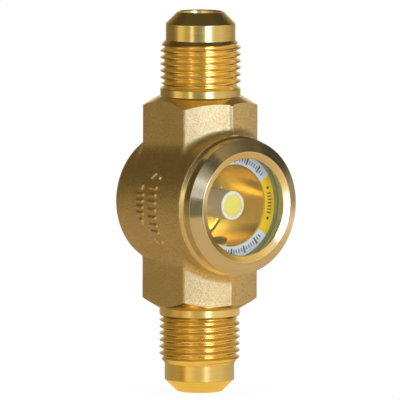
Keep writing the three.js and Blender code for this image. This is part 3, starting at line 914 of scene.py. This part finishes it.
# The card is a painted dark reflection: only the metal's mirror rays meet it, as a dark, mottled patch.
# Its foot takes the table's tone, and its top edge is ragged.
card_material, g = material("dark_card")
where = g.node("ShaderNodeTexCoord").outputs["Object"]
reflection_mottle = g.noise(where, 420.0, 3.0, 0.65)
tone = g.mix(g.smooth(reflection_mottle, 0.35, 0.65), (0.06, 0.07, 0.045), (0.26, 0.25, 0.19))
tone = g.mix(g.smooth(g.parts(where)[2], -0.0175, -0.0145), GROUND_TINT, tone)
card = g.node("ShaderNodeEmission", {"Color": tone, "Strength": 1.0})
clear = g.node("ShaderNodeBsdfTransparent")
ragged = g.add(g.mul(g.parts(where)[2], 1 / MM), g.mul(reflection_mottle, 14.0))
solid = g.mul(g.node("ShaderNodeLightPath").outputs["Is Glossy Ray"], g.smooth(ragged, 16.5, 18.0, 1.0, 0.0))
mixed = g.node("ShaderNodeMixShader", {0: solid, 1: clear.outputs[0], 2: card.outputs[0]})
g.node("ShaderNodeOutputMaterial", {"Surface": mixed.outputs[0]})
card_material.cycles.emission_sampling = "NONE"
floor_mesh.materials.append(floor_material)
floor_mesh.materials.append(card_material)
floor_mesh.polygons[1].material_index = 1

# ---- surroundings --------------------------------------------------------------------------------------
world = bpy.data.worlds.new("studio")
bpy.context.scene.world = world
world.use_nodes = True
world.cycles.sampling_method = "NONE"
g = Graph(world.node_tree)
direction = g.node("ShaderNodeTexCoord").outputs["Generated"]
dx, dy, dz = g.parts(direction)
elevation = g.mul(g.math("ARCSINE", dz), 180 / math.pi)
turn = turned_from_camera(g, dx, g.mul(dy, -1.0))
LIFT = 13.0                                             # keeps every ramp colour under 1
DIFFUSE_GAIN = 2.6                                      # light on matt surfaces
REPEAT_GAIN = 1.9                                       # light that reaches the eye by several reflections
# Brightness round the object at rising heights: lowest and highest elevation, then (turn, colour) pairs.
LEVELS = [
    (-2.0, 10.0, [
        (-180, (1.1, 1.0, 0.85)), (-166, (0.60, 0.50, 0.36)), (-150, (0.26, 0.21, 0.13)),
        (-106, (0.19, 0.15, 0.08)), (-89, (0.30, 0.23, 0.13)), (-80, (0.62, 0.50, 0.30)), (-74, (0.92, 0.76, 0.45)),
        (-60, (0.80, 0.64, 0.33)), (-49, (0.50, 0.41, 0.22)), (-36, (0.44, 0.40, 0.26)), (-31, (1.3, 1.25, 1.0)),
        (-26, (1.3, 1.25, 1.0)), (-21, (0.36, 0.34, 0.24)), (-6, (0.28, 0.28, 0.21)), (5, (0.38, 0.38, 0.30)),
        (14, (0.50, 0.49, 0.40)), (17, (0.9, 0.95, 1.0)), (21, (2.8, 3.5, 5.8)), (26, (5.6, 7.2, 12.4)),
        (30, (2.9, 3.6, 5.6)), (33, (1.05, 0.98, 0.80)), (45, (0.70, 0.63, 0.52)), (74, (0.74, 0.63, 0.45)),
        (89, (0.62, 0.52, 0.36)), (106, (0.50, 0.42, 0.32)), (116, (0.42, 0.36, 0.28)), (128, (0.36, 0.30, 0.24)),
        (154, (0.36, 0.30, 0.22)), (180, (1.1, 1.0, 0.85)),
    ]),
    (17.0, 23.0, [
        (-180, (0.90, 0.80, 0.62)), (-160, (0.40, 0.31, 0.18)), (-130, (0.10, 0.07, 0.03)),
        (-92, (0.10, 0.07, 0.03)), (-82, (0.14, 0.10, 0.05)), (-72, (0.35, 0.28, 0.15)), (-50, (0.40, 0.33, 0.18)),
        (-34, (0.60, 0.54, 0.40)), (-24, (0.95, 0.92, 0.75)), (-8, (1.05, 1.0, 0.85)), (-2, (0.40, 0.38, 0.32)),
        (4, (0.28, 0.27, 0.23)), (14, (0.46, 0.46, 0.42)), (20, (0.42, 0.42, 0.40)), (24, (0.95, 0.94, 0.92)),
        (29, (2.0, 2.4, 3.4)), (36, (5.2, 6.7, 11.0)), (43, (2.0, 2.4, 3.4)), (50, (0.95, 0.86, 0.68)),
        (62, (0.70, 0.58, 0.36)), (90, (0.60, 0.48, 0.27)), (99, (0.50, 0.36, 0.14)), (107, (0.26, 0.20, 0.09)),
        (114, (0.06, 0.055, 0.045)), (126, (0.08, 0.07, 0.06)), (134, (0.32, 0.27, 0.23)),
        (150, (0.36, 0.30, 0.23)), (180, (0.90, 0.80, 0.62)),
    ]),
    (31.0, 34.0, [
        (-180, (0.22, 0.16, 0.07)), (-155, (0.24, 0.18, 0.08)), (-138, (0.16, 0.12, 0.05)),
        (-128, (0.09, 0.065, 0.025)), (-100, (0.08, 0.06, 0.025)), (-80, (0.14, 0.11, 0.06)),
        (-40, (0.40, 0.36, 0.26)), (-18, (0.40, 0.36, 0.26)), (-6, (0.20, 0.18, 0.14)), (14, (0.30, 0.29, 0.26)),
        (24, (0.50, 0.49, 0.46)), (30, (0.30, 0.29, 0.25)), (38, (0.12, 0.12, 0.09)), (46, (0.14, 0.13, 0.10)),
        (49, (1.10, 0.96, 0.64)), (66, (0.90, 0.72, 0.38)), (86, (0.80, 0.62, 0.30)), (95, (0.52, 0.40, 0.19)),
        (101, (0.16, 0.13, 0.08)), (112, (0.06, 0.058, 0.048)), (130, (0.07, 0.065, 0.055)),
        (146, (0.24, 0.19, 0.12)), (180, (0.22, 0.16, 0.07)),
    ]),
    (50.0, 64.0, [
        (-180, (0.20, 0.15, 0.08)), (-150, (0.18, 0.13, 0.07)), (-130, (0.08, 0.06, 0.03)),
        (-80, (0.08, 0.06, 0.035)), (-40, (0.22, 0.19, 0.13)), (-20, (0.24, 0.21, 0.15)), (0, (0.14, 0.12, 0.09)),
        (24, (0.16, 0.15, 0.13)), (36, (0.10, 0.09, 0.07)), (46, (0.10, 0.09, 0.07)), (49, (0.34, 0.27, 0.16)),
        (62, (0.27, 0.22, 0.14)), (78, (0.18, 0.15, 0.10)), (90, (0.13, 0.11, 0.08)), (104, (0.08, 0.07, 0.055)),
        (132, (0.07, 0.06, 0.05)), (150, (0.16, 0.13, 0.08)), (180, (0.20, 0.15, 0.08)),
    ]),
]


def lifted(tone):
    """A tone as a ramp holds it; the background's strength takes it back up."""
    return tuple(c / LIFT for c in tone)


def around(stops):
    """Colour by turn, from (turn, colour) pairs."""
    return g.ramp_between(turn, -180, 180, [(at, lifted(tone)) for at, tone in stops])


light = around(LEVELS[0][2])
for (low, high, _), (_, _, stops) in zip(LEVELS, LEVELS[1:]):
    light = g.mix(g.smooth(elevation, low, high), light, around(stops))
light = g.mix(g.smooth(elevation, *LEVELS[-1][:2]), light, lifted((0.10, 0.083, 0.05)))
low_right = g.mul(g.smooth(elevation, -12.0, -4.0, 1.0, 0.0), g.smooth(turn, 92.0, 116.0))
light = g.mix(low_right, light, lifted((0.80, 0.67, 0.53)))
below = g.mix(1 / LIFT, (0.0, 0.0, 0.0), dimmed(g, turn))
light = g.mix(g.smooth(elevation, -17.0, -15.5, 1.0, 0.0), light, below)
path = g.node("ShaderNodeLightPath")
glossy, diffuse = path.outputs["Glossy Depth"], path.outputs["Diffuse Depth"]
# Rays that leave the chamber through the glass meet this light instead, by elevation.
within = g.ramp_between(elevation, -90, 90, [(at, lifted(tone)) for at, tone in (
    (-90, (0.14, 0.14, 0.18)), (-32, (0.15, 0.15, 0.20)), (-22, (0.50, 0.45, 0.38)), (-14, (0.60, 0.52, 0.36)),
    (-6, (1.20, 0.98, 0.52)), (4, (1.10, 0.92, 0.52)), (18, (1.10, 1.0, 0.75)), (28, (1.0, 0.92, 0.72)),
    (38, (0.50, 0.48, 0.40)), (60, (0.30, 0.28, 0.22)),
)])
key = g.mix(g.smooth(glossy, 1.0, 2.0), lifted((1.40, 1.35, 1.20)), lifted((3.4, 3.5, 3.3)))
within = g.mix(g.window(turn, 24.0, 46.0, 6.0), within, key)
light = g.mix(g.smooth(path.outputs["Transmission Depth"], 2.0, 4.0), light, within)
strength = g.smooth(diffuse, 0.0, 1.0, LIFT, LIFT * DIFFUSE_GAIN)
bounces = g.add(glossy, g.mul(g.mul(glossy, diffuse), 2.0))
strength = g.mul(strength, g.smooth(bounces, 1.0, 3.0, 1.0, REPEAT_GAIN))
studio = g.node("ShaderNodeBackground", {"Color": light, "Strength": strength})
plain = g.node("ShaderNodeBackground", {"Color": (1.0, 1.0, 1.0, 1.0), "Strength": 1.0})
mixed = g.node("ShaderNodeMixShader", {0: path.outputs["Is Camera Ray"], 1: studio.outputs[0], 2: plain.outputs[0]})
g.node("ShaderNodeOutputWorld", {"Surface": mixed.outputs[0]})
bpy.context.scene.view_settings.view_transform = "Standard"

bpy.context.view_layer.update()
